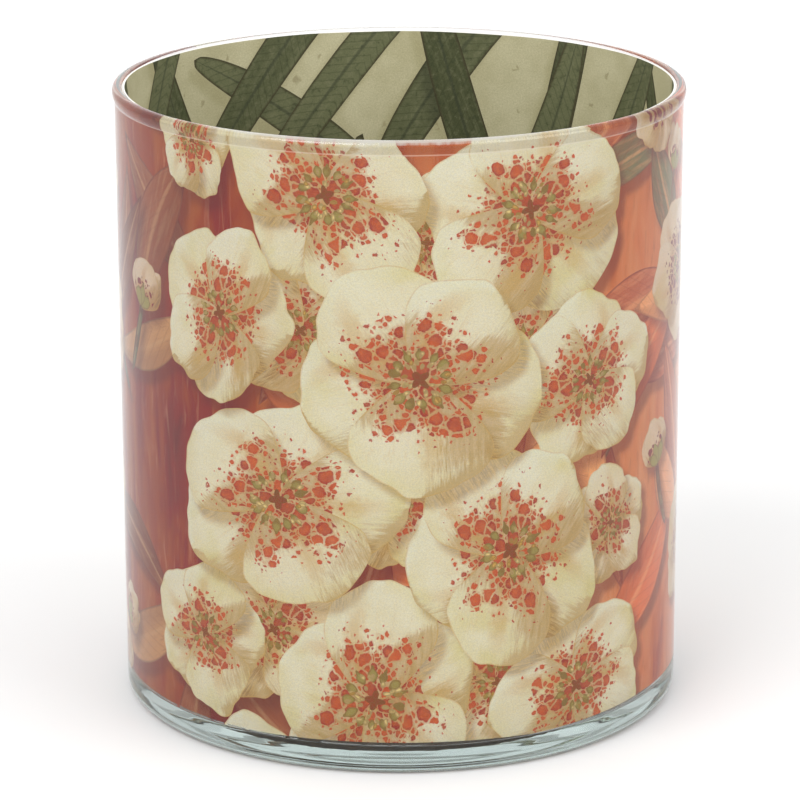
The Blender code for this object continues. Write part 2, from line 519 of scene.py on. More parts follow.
def paint(shapes, border, grid, shift=(1.3, -1.7)):
    """Cuts a flat sheet along every shape's outline and works out, at each face
    corner, what is painted there. border is the sheet's own outline."""
    lo, hi = border.min(0), border.max(0)
    pts, edges = [border], [(i, (i + 1) % len(border)) for i in range(len(border))]
    n = len(border)
    for s in shapes:
        keep = s.poly
        pts.append(keep)
        edges += [(n + i, n + (i + 1) % len(keep)) for i in range(len(keep))]
        n += len(keep)
    fixed = np.vstack(pts)
    tree = kdtree.KDTree(len(fixed))
    for i, p in enumerate(fixed):
        tree.insert((p[0], p[1], 0.0), i)
    tree.balance()
    rows = np.arange(lo[1] + grid * 0.5, hi[1], grid * 0.866)
    free = []
    for j, y in enumerate(rows):
        for x in np.arange(lo[0] + grid * (0.5 if j % 2 else 1.0), hi[0] - grid * 0.3, grid):
            if tree.find((x, y, 0.0))[2] > grid * 0.42:
                free.append((x, y))
    free = np.array(free)
    ok = inside(free[:, 0], free[:, 1], border)
    every = np.vstack([fixed, free[ok]])
    out = delaunay_2d_cdt([Vector(p) for p in every.tolist()], edges, [], 0, 1e-4)
    verts = np.array([tuple(v) for v in out[0]], float)
    faces = np.array([f for f in out[2] if len(f) == 3], int)
    a, b, c = verts[faces[:, 0]], verts[faces[:, 1]], verts[faces[:, 2]]
    area = (b[:, 0] - a[:, 0]) * (c[:, 1] - a[:, 1]) - (b[:, 1] - a[:, 1]) * (c[:, 0] - a[:, 0])
    faces[area < 0] = faces[area < 0][:, ::-1]
    mid = (a + b + c) / 3
    keep = (np.abs(area) > 1e-9) & inside(mid[:, 0], mid[:, 1], border)
    faces, mid = faces[keep], mid[keep]
    top = np.full(len(faces), -1)
    for i, s in enumerate(shapes):
        p0, p1 = s.poly.min(0), s.poly.max(0)
        near = np.nonzero((mid[:, 0] > p0[0]) & (mid[:, 0] < p1[0]) & (mid[:, 1] > p0[1]) & (mid[:, 1] < p1[1]))[0]
        if len(near):
            hit = inside(mid[near, 0], mid[near, 1], s.poly)
            top[near[hit]] = i
    used, back = np.unique(faces, return_inverse=True)
    verts, faces = verts[used], back.reshape(faces.shape)
    cx, cy = verts[faces.ravel(), 0], verts[faces.ravel(), 1]
    ctop = np.repeat(top, 3)
    m = len(ctop)
    f = {k: np.zeros(m) for k in ("kind", "s", "t", "edge", "cast", "rnd", "tone", "lx", "ly", "cup", "spot")}
    f["edge"][:] = 9.0
    for i, s in enumerate(shapes):
        idx = np.nonzero(ctop == i)[0]
        if not len(idx):
            continue
        x, y = s.to_local(cx[idx], cy[idx])
        f["kind"][idx] = s.kind
        f["lx"][idx], f["ly"][idx] = x, y
        f["rnd"][idx], f["tone"][idx] = s.rnd, s.tone
        q = (x / s.length).clip(0, 1)
        f["s"][idx] = q
        if s.kind == LEAF:
            w = s.half * np.sin(np.pi * q.clip(0.02, 0.98) ** 0.8)
            f["t"][idx] = ((y - s.bend * 4 * q * (1 - q)) / np.maximum(w, 0.2)).clip(-1.3, 1.3)
        else:
            w = petal_half(q, s.half)
            f["t"][idx] = (y / np.maximum(w, 0.3)).clip(-1.3, 1.3)
        f["edge"][idx] = np.minimum(edge_distance(cx[idx], cy[idx], s.poly), 9.0)
        # roundness: how far the petal's surface leans away from light at upper left
        ga, gt = s.angle + (0.0 if s.kind == PETAL else 0.0), f["t"][idx]
        lean_across = -math.sin(ga), math.cos(ga)
        light = (-0.55, 0.83)
        f["cup"][idx] = (gt * (lean_across[0] * light[0] + lean_across[1] * light[1])
                         + (q - 0.45) * 1.3 * (math.cos(ga) * light[0] + math.sin(ga) * light[1]))
    # soft shadows of the shapes above
    for i, s in enumerate(shapes):
        if not s.casts:
            continue
        p0, p1 = s.poly.min(0) + shift - 2.5, s.poly.max(0) + shift + 2.5
        idx = np.nonzero((ctop < i) & (cx > p0[0]) & (cx < p1[0]) & (cy > p0[1]) & (cy < p1[1]))[0]
        if not len(idx):
            continue
        x, y = cx[idx] - shift[0], cy[idx] - shift[1]
        d = edge_distance(x, y, s.poly)
        d = np.where(inside(x, y, s.poly), -d, d)
        f["cast"][idx] = np.maximum(f["cast"][idx], 1 - ease(d, -1.1, 1.3))
    return verts, faces, f, top


def sheet_radius(u, span, outer, tuck):
    t = ((u - (span - 3.0)) / 3.0).clip(0, 1)
    return outer - tuck * t * t * (3 - 2 * t)


def seam_ridge(a):
    """How much the lining is lifted off the wall, 0 to 1, where it runs over
    the print's lapped seam."""
    d = a - math.radians(SEAM_PRINT)
    d = (np.arctan2(np.sin(d), np.cos(d))) * PRINT_R
    return ease(d, -4.6, -1.6) * (1 - ease(d, LAP + 0.2, LAP + 3.4))


def rolled_sheet(name, outer, low, high, seam, shapes, printed_out, grid):
    """A rolled paper sleeve: printed face cut along its pattern, plain back."""
    span = 2 * math.pi * outer
    total = span + LAP
    nx, ny = int(total / 1.0), int((high - low) / 1.0)
    xs, ys = np.linspace(0, total, nx + 1), np.linspace(low, high, ny + 1)
    border = np.array([(x, low) for x in xs[:-1]] + [(total, y) for y in ys[:-1]]
                      + [(x, high) for x in xs[::-1][:-1]] + [(0.0, y) for y in ys[::-1][:-1]])
    shapes = wrap_copies(shapes, span, low, high)
    verts, faces, f, _ = paint(shapes, border, grid)
    verts[:, 0] = np.where(np.abs(verts[:, 0]) < 2e-3, 0, np.where(np.abs(verts[:, 0] - total) < 2e-3, total, verts[:, 0]))
    verts[:, 1] = np.where(np.abs(verts[:, 1] - low) < 2e-3, low, np.where(np.abs(verts[:, 1] - high) < 2e-3, high, verts[:, 1]))

    def wrap(p, depth):
        r = sheet_radius(p[:, 0], span, outer, SHEET + 0.03) - depth
        a = math.radians(seam) + p[:, 0] / outer
        if not printed_out:
            r = r - (SHEET + 0.03) * seam_ridge(a)
        if printed_out:
            turn = (np.degrees(a) - 270.0 + 180.0) % 360.0 - 180.0
            dip = np.interp(turn, [-180, -60, -36, 0, 26, 60, 110, 180], [0.25, 0.46, 0.50, 0.50, 0.40, -0.42, 0.0, 0.25])
            p = np.column_stack([p[:, 0], p[:, 1] - dip * (1 - ease(p[:, 1], low, low + 9.0))])
            deep = (FLOOR_Z + FILLET - p[:, 1]).clip(0, FILLET)
            r = r - (FILLET - np.sqrt((FILLET ** 2 - deep ** 2).clip(0, None)))
        cut = 0.05 * np.sin(2 * a + seam) + 0.035 * np.sin(5 * a + 2 * seam) + 0.02 * np.sin(13 * a + 3 * seam)
        z = p[:, 1] + (cut - 0.09) * ease(p[:, 1], high - 3.0, high)
        return np.stack([r * np.cos(a), r * np.sin(a), z], 1) * MM

    # boundary vertices in order
    on = {}
    for i, (x, y) in enumerate(verts):
        if y == low:
            on[i] = x
        elif x == total:
            on[i] = total + (y - low)
        elif y == high:
            on[i] = total + (high - low) + (total - x)
        elif x == 0:
            on[i] = 2 * total + (high - low) + (high - y)
    ring = []
    same = np.arange(len(verts))
    for i in sorted(on, key=lambda i: on[i]):
        if ring and on[i] - on[ring[-1]] < 1e-3:
            same[i] = ring[-1]
        else:
            ring.append(i)
    faces = same[faces]
    whole = (faces[:, 0] != faces[:, 1]) & (faces[:, 1] != faces[:, 2]) & (faces[:, 2] != faces[:, 0])
    faces = faces[whole]
    f = {k: v.reshape(-1, 3)[whole].ravel() for k, v in f.items()}
    n_front = len(verts)
    inner = [(x, y) for x in np.linspace(0, total, 100)[1:-1] for y in np.linspace(low, high, 30)[1:-1]]
    back_pts = np.vstack([verts[ring], np.array(inner)])
    cdt = delaunay_2d_cdt([Vector(p) for p in back_pts.tolist()],
                          [(i, (i + 1) % len(ring)) for i in range(len(ring))], [], 0, 1e-6)
    bverts = np.array([tuple(v) for v in cdt[0]], float)
    bfaces = np.array([t for t in cdt[2] if len(t) == 3], int)
    assert len(bverts) == len(back_pts), "the back's border must match the front's"
    a, b, c = (bverts[bfaces[:, k]] for k in range(3))
    area = (b[:, 0] - a[:, 0]) * (c[:, 1] - a[:, 1]) - (b[:, 1] - a[:, 1]) * (c[:, 0] - a[:, 0])
    bfaces[area < 0] = bfaces[area < 0][:, ::-1]
    bfaces = bfaces[np.abs(area) > 1e-9]
    front_depth, back_depth = (0.0, SHEET) if printed_out else (SHEET, 0.0)
    co = np.vstack([wrap(verts, front_depth), wrap(bverts, back_depth)])
    ftri = faces if printed_out else faces[:, ::-1]
    btri = (bfaces[:, ::-1] if printed_out else bfaces) + n_front
    strip = []
    for k in range(len(ring)):
        i, j = ring[k], ring[(k + 1) % len(ring)]
        bi, bj = n_front + k, n_front + (k + 1) % len(ring)
        quad = [(j, i, bi), (j, bi, bj)] if printed_out else [(i, j, bj), (i, bj, bi)]
        strip += quad
    strip = np.array(strip, int)
    tris = np.vstack([ftri, btri, strip])
    mesh = bpy.data.meshes.new(name)
    mesh.from_pydata(co.tolist(), [], tris.tolist())
    nf = len(ftri) * 3
    total_corners = len(tris) * 3
    flip = (lambda v: v) if printed_out else (lambda v: v.reshape(-1, 3)[:, ::-1].ravel())

    def corner(key, values, rest=0.0):
        data = np.full(total_corners, rest, np.float32)
        data[:nf] = flip(values)
        mesh.attributes.new(key, "FLOAT", "CORNER").data.foreach_set("value", data)

    for key in ("kind", "s", "t", "edge", "cast", "rnd", "tone", "cup"):
        corner("p_" + key, f[key])
    corner("p_back", np.zeros(nf), 1.0)
    loc = np.zeros((total_corners, 3), np.float32)
    loc[:nf, 0], loc[:nf, 1], loc[:nf, 2] = flip(f["lx"]), flip(f["ly"]), flip(f["rnd"] * 97.0)
    mesh.attributes.new("p_loc", "FLOAT_VECTOR", "CORNER").data.foreach_set("vector", loc.ravel())
    flat = np.vstack([verts, bverts])[tris.ravel()]
    pos = np.zeros((total_corners, 3), np.float32)
    pos[:, :2] = flat
    mesh.attributes.new("p_pos", "FLOAT_VECTOR", "CORNER").data.foreach_set("vector", pos.ravel())
    uv = mesh.uv_layers.new(name="OFBake", do_init=False)
    m = np.zeros((total_corners, 2), np.float32)
    m[:, 0] = 0.002 + 0.996 * flat[:, 0] / total
    m[:, 1] = (flat[:, 1] - low) / (high - low)
    m[:nf, 1] = 0.05 + 0.948 * m[:nf, 1]
    m[nf:, 1] = 0.002 + 0.040 * m[nf:, 1]
    uv.uv.foreach_set("vector", m.ravel())
    mesh.update()
    mesh.shade_smooth()
    mesh.set_sharp_from_angle(angle=math.radians(50))
    obj = bpy.data.objects.new(name, mesh)
    bpy.context.scene.collection.objects.link(obj)
    print(name, len(tris), "triangles")
    return obj


def disc_sheet(name, radius, z_low, shapes, printed_up, grid, stuck=None):
    """A cut disc of printed paper."""
    n = int(2 * math.pi * radius / 1.2)
    t = np.linspace(0, 2 * np.pi, n, endpoint=False)
    border = np.stack([radius * np.cos(t), radius * np.sin(t)], 1)
    shapes = [s for s in shapes if (s.poly[:, 0].min() < radius and s.poly[:, 0].max() > -radius
                                    and s.poly[:, 1].min() < radius and s.poly[:, 1].max() > -radius)]
    for i, s in enumerate(shapes):
        s.z = i + 1
    verts, faces, f, _ = paint(shapes, border, grid)
    # boundary edges are those used once
    e = np.sort(np.vstack([faces[:, [0, 1]], faces[:, [1, 2]], faces[:, [2, 0]]]), axis=1)
    directed = np.vstack([faces[:, [0, 1]], faces[:, [1, 2]], faces[:, [2, 0]]])
    _, first, count = np.unique(e, axis=0, return_index=True, return_counts=True)
    rim = directed[first[count == 1]]
    nv = len(verts)
    top = np.column_stack([verts, np.full(nv, z_low + SHEET)]) * MM
    under = np.full(nv, z_low)
    if stuck is not None:
        cx, cy, bow, half, drop = stuck
        dx, dy = verts[:, 0] - cx, verts[:, 1] - cy
        d = np.abs(np.hypot(dx, dy) - bow) + half * (np.arctan2(dx, -dy) / 0.74) ** 2
        under = under - drop * (1 - ease(d, half - 0.5, half))
    low = np.column_stack([verts, under]) * MM
    co = np.vstack([top, low])
    strip = []
    for i, j in rim:
        strip += [(j, i, nv + i), (j, nv + i, nv + j)]
    tris = np.vstack([faces, faces[:, ::-1] + nv, np.array(strip, int)])
    mesh = bpy.data.meshes.new(name)
    mesh.from_pydata(co.tolist(), [], tris.tolist())
    nf = len(faces) * 3
    corners = len(tris) * 3
    start = 0 if printed_up else nf

    def corner(key, values, rest=0.0):
        data = np.full(corners, rest, np.float32)
        data[start:start + nf] = values if printed_up else values.reshape(-1, 3)[:, ::-1].ravel()
        mesh.attributes.new(key, "FLOAT", "CORNER").data.foreach_set("value", data)

    for key in ("kind", "s", "t", "edge", "cast", "rnd", "tone", "cup"):
        corner("p_" + key, f[key])
    corner("p_back", np.zeros(nf), 1.0)
    order = (lambda v: v) if printed_up else (lambda v: v.reshape(-1, 3)[:, ::-1].ravel())
    loc = np.zeros((corners, 3), np.float32)
    loc[start:start + nf, 0] = order(f["lx"])
    loc[start:start + nf, 1] = order(f["ly"])
    loc[start:start + nf, 2] = order(f["rnd"] * 97.0)
    mesh.attributes.new("p_loc", "FLOAT_VECTOR", "CORNER").data.foreach_set("vector", loc.ravel())
    flat = np.vstack([verts, verts])[tris.ravel()]
    pos = np.zeros((corners, 3), np.float32)
    pos[:, :2] = flat + 300.0
    mesh.attributes.new("p_pos", "FLOAT_VECTOR", "CORNER").data.foreach_set("vector", pos.ravel())
    mesh.update()
    mesh.shade_smooth()
    mesh.set_sharp_from_angle(angle=math.radians(50))
    obj = bpy.data.objects.new(name, mesh)
    bpy.context.scene.collection.objects.link(obj)
    print(name, len(tris), "triangles")
    return obj


# ---- glass ----------------------------------------------------------------------
def arc(centre, radius, start, end, count):
    return [(centre[0] + radius * math.cos(math.radians(start + (end - start) * i / count)),
             centre[1] + radius * math.sin(math.radians(start + (end - start) * i / count)))
            for i in range(count + 1)]


def smooth_through(points, steps):
    ext = [points[0]] + list(points) + [points[-1]]
    out = []
    for i in range(1, len(ext) - 2):
        p0, p1, p2, p3 = ext[i - 1:i + 3]
        for s in range(steps):
            t = s / steps
            out.append(tuple(0.5 * (2 * p1[k] + (p2[k] - p0[k]) * t
                                    + (2 * p0[k] - 5 * p1[k] + 4 * p2[k] - p3[k]) * t * t
                                    + (3 * p1[k] - p0[k] - 3 * p2[k] + p3[k]) * t ** 3) for k in (0, 1)))
    out.append(points[-1])
    return out


def glass_profile():
    i = INNER_R
    pts = [(0.0, FLOOR_Z)] + [(r, FLOOR_Z) for r in (8.0, 16.0, 24.0, 32.0, 38.0, i - FILLET)]
    pts += arc((i - FILLET, FLOOR_Z + FILLET), FILLET, -90, 0, 10)[1:]
    pts += [(i, z) for z in np.arange(9.0, 98.0, 4.0)]
    top = HEIGHT
    lip = [(i, top - 1.30), (i + 0.01, top - 0.60), (i + 0.10, top - 0.24), (i + 0.34, top - 0.04),
           (i + 0.70, top), (i + 1.10, top - 0.10), (BODY_R + LIP_BULGE * 0.62, top - 0.40),
           (BODY_R + LIP_BULGE, top - 0.85), (BODY_R + LIP_BULGE * 0.94, top - 1.30),
           (BODY_R + LIP_BULGE * 0.58, top - 1.78), (BODY_R, top - LIP_H)]
    pts += smooth_through(lip, 6)
    pts += [(BODY_R - 0.045, top - LIP_H - 0.14), (BODY_R - 0.035, top - LIP_H - 0.34), (BODY_R, top - LIP_H - 0.75)]
    pts += [(BODY_R, z) for z in np.arange(94.0, 3.5, -3.0)]
    pts += arc((FOOT_OUT, HEEL_R), HEEL_R, 0, -90, 16)
    foot = [(FOOT_IN, 0.0), (FOOT_IN - 2.4, 0.22), (FOOT_IN - 8.0, PUNT * 0.72), (14.0, PUNT), (0.0, PUNT)]
    pts += smooth_through(foot, 5)
    return pts


def add_glass(steps=288):
    prof = glass_profile()
    ring = [p for p in prof if p[0] > 1e-6]
    n = len(ring)
    rng = np.random.RandomState(3)
    ph = rng.uniform(0, 2 * np.pi, 12)
    co = [(0.0, 0.0, prof[0][1] * MM)]
    for k in range(steps):
        a = 2 * math.pi * k / steps
        c, s = math.cos(a), math.sin(a)
        for (r, z) in ring:
            outer = min(1.0, max(0.0, (r - INNER_R - 0.2) / 0.8)) * min(1.0, max(0.0, (z - 2.0) / 3.0))
            w = 0.010 * math.sin(3 * a + ph[0] + z * 0.05) + 0.007 * math.sin(7 * a + ph[1] - z * 0.09)
            r2 = r - abs(w) * outer * 1.4
            lift = 0.0
            if z > HEIGHT - 3.7:
                lift = -0.05 * (1 + math.sin(2 * a + ph[2])) * 0.5 - 0.03 * (1 + math.sin(5 * a + ph[3])) * 0.5
                lift *= min(1.0, (z - HEIGHT + 3.7) / 1.5)
            co.append((r2 * c * MM, r2 * s * MM, (z + lift) * MM))
    co.append((0.0, 0.0, prof[-1][1] * MM))
    last = len(co) - 1
    faces = []
    for k in range(steps):
        a, b = 1 + k * n, 1 + ((k + 1) % steps) * n
        faces.append((0, a, b))
        for i in range(n - 1):
            faces.append((a + i, a + i + 1, b + i + 1, b + i))
        faces.append((last, b + n - 1, a + n - 1))
    mesh = bpy.data.meshes.new("glass_cup")
    mesh.from_pydata(co, [], faces)
    mesh.update()
    mesh.shade_smooth()
    obj = bpy.data.objects.new("glass_cup", mesh)
    bpy.context.scene.collection.objects.link(obj)
    return obj


def glass_material():
    m = Nodes("clear_glass")
    m.principled(Base_Color=(1, 1, 1), Roughness=0.0, IOR=1.5, Transmission_Weight=1.0)
    vol = m.node("ShaderNodeVolumeAbsorption")
    vol.inputs["Color"].default_value = (0.832, 0.864, 0.858, 1.0)
    vol.inputs["Density"].default_value = 60.0
    m.tree.links.new(vol.outputs[0], m.out.inputs["Volume"])
    return m.material


# ---- printed papers --------------------------------------------------------------
def paint_rgb(r, g, b):
    """Paint that shows as a given display colour behind the glass."""
    return tuple(min(0.9, max(0.004, (c - 0.040) / 0.86)) for c in rgb(r, g, b))


CREAM = paint_rgb(230, 224, 198)
PALE = paint_rgb(238, 234, 216)
LEMON = paint_rgb(216, 206, 150)
TAN = paint_rgb(188, 157, 104)
SAND = paint_rgb(199, 172, 126)
UMBER = paint_rgb(146, 108, 62)
OLIVE = paint_rgb(172, 150, 98)
OCHRE = paint_rgb(202, 164, 92)
SPECK = paint_rgb(196, 86, 40)
SPECK_PALE = paint_rgb(216, 124, 72)
SPECK_DEEP = paint_rgb(164, 62, 40)


def print_material():
    m = Nodes("outer_print_paper")
    pos, loc = m.attrv("p_pos"), m.attrv("p_loc")
    kind, s, t = m.attr("p_kind"), m.attr("p_s"), m.attr("p_t")
    edge, cast, rnd, tone, cup = (m.attr("p_" + k) for k in ("edge", "cast", "rnd", "tone", "cup"))
    wobble = m.noise(pos, 0.9, 3, 0.6)
    wob = m.sub(wobble, 0.5)

    # brush strokes that run along each shape
    stroke = m.noise(m.vec(loc, (0.16, 1.3, 1.0)), 1.0, 3, 0.6)
    stroke_fine = m.noise(m.vec(loc, (0.45, 4.0, 1.0)), 1.0, 3, 0.6)
    blot = m.noise(m.vec(pos, (1, 1, 1)), 0.16, 3, 0.55)
    wide = m.noise(loc, 0.11, 2, 0.5)
    brush = m.mul(m.sub(stroke_fine, 0.5), 1.0)

    # petals ---------------------------------------------------------------
    petal = m.mix(m.smooth(blot, 0.38, 0.68), CREAM, paint_rgb(226, 218, 187))
    margin = m.inv(m.smooth(m.add(edge, m.mul(wob, 2.4)), 0.3, 3.4))
    lemon = m.mul(m.add(m.mul(margin, 0.45), m.smooth(m.add(wide, m.mul(brush, 0.25)), 0.48, 0.72)), 0.70, clamp=True)
    petal = m.mix(lemon, petal, LEMON)
    # veins from the base outwards
    x, y, _ = m.sep(loc)
    fan = m.math("ARCTAN2", y, m.add(x, 2.0))
    vein = m.math("ABSOLUTE", m.math("SINE", m.add(m.mul(fan, 17.0), m.mul(stroke, 5.0))))
    vein = m.mul(m.inv(m.smooth(vein, 0.03, 0.22)), m.smooth(s, 0.97, 0.50))
    petal = m.mix(m.mul(vein, 0.20), petal, OCHRE)
    # shaded side: tan laid on with a dry brush, over a softer olive wash
    turnaway = m.add(cup, m.add(m.mul(m.sub(stroke, 0.5), 0.7), m.mul(brush, 0.55)))
    petal = m.mix(m.mul(m.smooth(turnaway, -0.15, -0.95), 0.36), petal, m.mix(m.smooth(blot, 0.4, 0.6), OLIVE, LEMON))
    petal = m.mix(m.mul(m.smooth(turnaway, -0.52, -0.88), 0.76), petal, m.mix(m.smooth(wide, 0.40, 0.60), TAN, SAND))
    lit = m.smooth(m.add(cup, m.mul(m.sub(stroke, 0.5), 0.5)), 0.15, 1.0)
    petal = m.mix(m.mul(lit, 0.60), petal, PALE)
    # tan wash in the throat, ragged along the brush strokes
    wash = m.add(s, m.mul(brush, 0.34))
    wash = m.add(wash, m.mul(m.sub(wide, 0.5), 0.40))
    wash = m.sub(wash, m.mul(m.smooth(cup, 0.0, -0.55), 0.34))
    wash = m.inv(m.smooth(wash, 0.29, 0.47))
    petal = m.mix(m.mul(wash, 0.78), petal, m.mix(m.smooth(stroke, 0.35, 0.65), TAN, SAND))
    # folds: a soft ochre stripe on some petals
    fold = m.math("ABSOLUTE", m.add(t, m.add(m.mul(m.sub(rnd, 0.5), 1.2), m.mul(wob, 0.30))))
    fold = m.mul(m.inv(m.smooth(m.add(fold, m.mul(brush, 0.16)), 0.02, 0.26)), m.smooth(s, 0.98, 0.55))
    petal = m.mix(m.mul(fold, 0.50), petal, OCHRE)
    # darker where a petal tucks under its neighbour
    petal = m.mix(m.mul(m.smooth(m.add(cast, m.mul(brush, 0.5)), 0.05, 0.95), 0.64), petal,
                  m.mix(m.smooth(m.add(stroke_fine, m.mul(blot, 0.6)), 0.62, 0.95), UMBER, m.mix(m.smooth(blot, 0.4, 0.6), OCHRE, TAN)))
    line = m.mul(m.inv(m.smooth(m.add(edge, m.mul(wob, 0.25)), 0.04, 0.30)), m.smooth(blot, 0.3, 0.6))
    petal = m.mix(m.mul(line, 0.50), petal, OCHRE)

    # freckles -----------------------------------------------------------
    jog = m.vadd(loc, m.vscale(m.noise(loc, 0.9, 3, 0.6, colour=True), 1.05))
    density = m.add(m.smooth(s, 0.80, 0.20), m.mul(m.sub(m.noise(loc, 0.20, 2, 0.5), 0.5), 0.80))
    density = m.mul(density, m.smooth(m.math("ABSOLUTE", t), 1.05, 0.55), clamp=True)
    ragged = m.mul(m.sub(m.noise(loc, 3.0, 3, 0.65), 0.5), 0.20)

    def dabs(scale, move, low, high, least, spread, share):
        cell = m.voronoi(m.vec(jog, (scale, scale * 1.1, 1.0), move), 1.0, "F1", 1.0, "2D")
        gap = m.voronoi(m.vec(jog, (scale, scale * 1.1, 1.0), move), 1.0, "DISTANCE_TO_EDGE", 1.0, "2D")["Distance"]
        c1, c2, c3 = m.sep(cell["Color"])
        grown = m.smooth(density, low, high)
        size = m.mul(m.add(m.mul(c1, spread), least), m.add(m.mul(grown, 0.45), 0.55))
        rim = m.add(m.sub(cell["Distance"], size), ragged)
        dot = m.mul(m.smooth(rim, 0.03, -0.05), m.smooth(m.add(gap, m.mul(ragged, 0.5)), 0.03, 0.11))
        there = m.math("LESS_THAN", c2, m.mul(grown, share))
        return m.mul(dot, there), m.add(rim, m.mul(m.sub(1.0, there), 1.0)), c3

    big, big_rim, big_tone = dabs(0.37, (0.0, 0.0, 0.0), 0.34, 0.74, 0.33, 0.23, 0.86)
    mid, mid_rim, mid_tone = dabs(0.66, (7.0, 3.0, 0.0), 0.16, 0.62, 0.26, 0.21, 0.74)
    mid = m.mul(mid, m.smooth(big_rim, 0.05, 0.11))
    tiny, _, _ = dabs(1.15, (13.0, 5.0, 0.0), 0.05, 0.60, 0.20, 0.22, 0.40)
    tiny = m.mul(tiny, m.mul(m.smooth(big_rim, 0.04, 0.09), m.smooth(mid_rim, 0.05, 0.12)))
    freckle = m.math("MAXIMUM", m.math("MAXIMUM", big, mid), m.mul(tiny, 0.85))
    r3 = m.lerp(m.math("GREATER_THAN", big, 0.1), mid_tone, big_tone)
    tint = m.mix(m.smooth(m.add(r3, m.mul(wob, 0.9)), 0.50, 1.0), SPECK, SPECK_DEEP)
    middle = m.math("MAXIMUM", m.mul(big, m.smooth(big_rim, -0.06, -0.26)), m.mul(mid, m.smooth(mid_rim, -0.06, -0.26)))
    tint = m.mix(m.mul(middle, 0.30), tint, SPECK_PALE)
    tint = m.mix(m.mul(m.smooth(m.noise(loc, 1.6, 3, 0.6), 0.48, 0.68), 0.45), tint, SPECK_PALE)
    halo = m.mul(m.smooth(m.math("MINIMUM", big_rim, mid_rim), 0.30, 0.02), m.smooth(density, 0.20, 0.70))
    petal = m.mix(m.mul(halo, 0.46), petal, paint_rgb(203, 154, 106))
    watery = m.add(m.mul(m.smooth(m.noise(loc, 0.8, 3, 0.6), 0.30, 0.60), 0.10), 0.88)
    petal = m.mix(m.mul(tone, 0.85), petal, m.mix(1.0, petal, (0.90, 0.70, 0.66), "MULTIPLY"))
    petal = m.mix(m.mul(freckle, watery), petal, m.mix(tone, tint, paint_rgb(140, 60, 48)))

    # ground -----------------------------------------------------------------
    pu, pv, _ = m.sep(pos)
    around = m.math("SINE", m.mul(m.sub(pu, math.radians(270.0 - SEAM_PRINT) * PRINT_R), 1.0 / PRINT_R))
    around = m.add(m.mul(around, 0.5), 0.5)
    streak = m.noise(m.vec(pos, (0.30, 0.06, 1.0)), 1.0, 2, 0.5, 0.6)
    broad = m.noise(m.vec(pos, (0.050, 0.012, 1.0), (2.3, 1.0, 0.0)), 1.0, 2, 0.5)
    mixed = m.add(m.mul(m.sub(streak, 0.5), 0.75), m.add(m.mul(m.sub(broad, 0.5), 1.5), 0.5))
    warm = m.ramp(mixed, [(0.08, paint_rgb(176, 84, 46)), (0.30, paint_rgb(201, 110, 66)),
                          (0.48, paint_rgb(213, 130, 84)), (0.64, paint_rgb(216, 140, 94)),
                          (0.82, paint_rgb(219, 154, 114)), (0.97, paint_rgb(222, 172, 140))])
    deep = m.ramp(mixed, [(0.08, paint_rgb(118, 50, 30)), (0.28, paint_rgb(146, 62, 34)),
                          (0.46, paint_rgb(162, 80, 46)), (0.62, paint_rgb(172, 96, 62)),
                          (0.80, paint_rgb(174, 110, 76)), (0.97, paint_rgb(184, 134, 102))])
    right = m.smooth(m.add(around, m.mul(m.sub(broad, 0.5), 0.5)), 0.15, 0.80)
    ground = m.mix(right, deep, warm)
    ribs = m.noise(m.vec(pos, (0.80, 0.10, 1.0)), 1.0, 3, 0.6, 0.8)
    ground = m.mix(m.mul(m.smooth(ribs, 0.55, 0.75), 0.32), ground, paint_rgb(144, 72, 46))
    ground = m.mix(m.mul(m.smooth(ribs, 0.44, 0.28), 0.26), ground, paint_rgb(220, 164, 126))
    ground = m.mix(m.mul(m.smooth(cast, 0.0, 1.0), 0.60), ground, paint_rgb(116, 50, 36))

    # long leaves ------------------------------------------------------------
    leaf = m.ramp(tone, [(0.0, paint_rgb(214, 166, 122)), (0.2, paint_rgb(174, 108, 82)), (0.4, paint_rgb(152, 88, 66)),
                         (0.6, paint_rgb(206, 124, 84)), (0.8, paint_rgb(124, 126, 100))], "CONSTANT")
    leaf = m.mix(m.mul(m.smooth(stroke, 0.42, 0.72), 0.34), leaf, paint_rgb(212, 166, 128))
    leaf = m.mix(m.mul(m.smooth(stroke_fine, 0.55, 0.8), 0.35), leaf, paint_rgb(132, 68, 52))
    side = m.smooth(m.mul(t, 1.0), -0.15, 0.6)
    leaf = m.mix(m.mul(side, 0.28), leaf, paint_rgb(122, 62, 50))
    rib = m.inv(m.smooth(m.math("ABSOLUTE", m.add(t, m.mul(wob, 0.10))), 0.03, 0.13))
    leaf = m.mix(m.mul(rib, 0.45), leaf, paint_rgb(218, 176, 136))
    veins = m.math("ABSOLUTE", m.math("SINE", m.add(m.mul(x, 1.15), m.mul(m.math("ABSOLUTE", y), -1.5))))
    leaf = m.mix(m.mul(m.inv(m.smooth(veins, 0.04, 0.22)), 0.25), leaf, paint_rgb(136, 72, 54))
    rim = m.inv(m.smooth(m.add(edge, m.mul(wob, 0.3)), 0.08, 0.42))
    leaf = m.mix(m.mul(rim, 0.50), leaf, paint_rgb(116, 54, 40))
    leaf = m.mix(m.mul(cast, 0.58), leaf, paint_rgb(110, 50, 36))
    leaf = m.mix(1.0, leaf, m.mix(right, (0.86, 0.78, 0.66), (1.30, 1.04, 0.86)), "MULTIPLY")

    # stamens ----------------------------------------------------------------
    heart = m.ramp(tone, [(0.0, paint_rgb(164, 150, 88)), (0.3, paint_rgb(230, 212, 146)), (0.5, paint_rgb(216, 178, 98)),
                          (0.75, paint_rgb(150, 84, 58))], "CONSTANT")
    heart = m.mix(m.mul(m.smooth(edge, 0.30, 0.05), 0.62), heart, paint_rgb(134, 98, 54))
    heart = m.mix(m.mul(m.smooth(cast, 0.2, 1.0), 0.4), heart, UMBER)

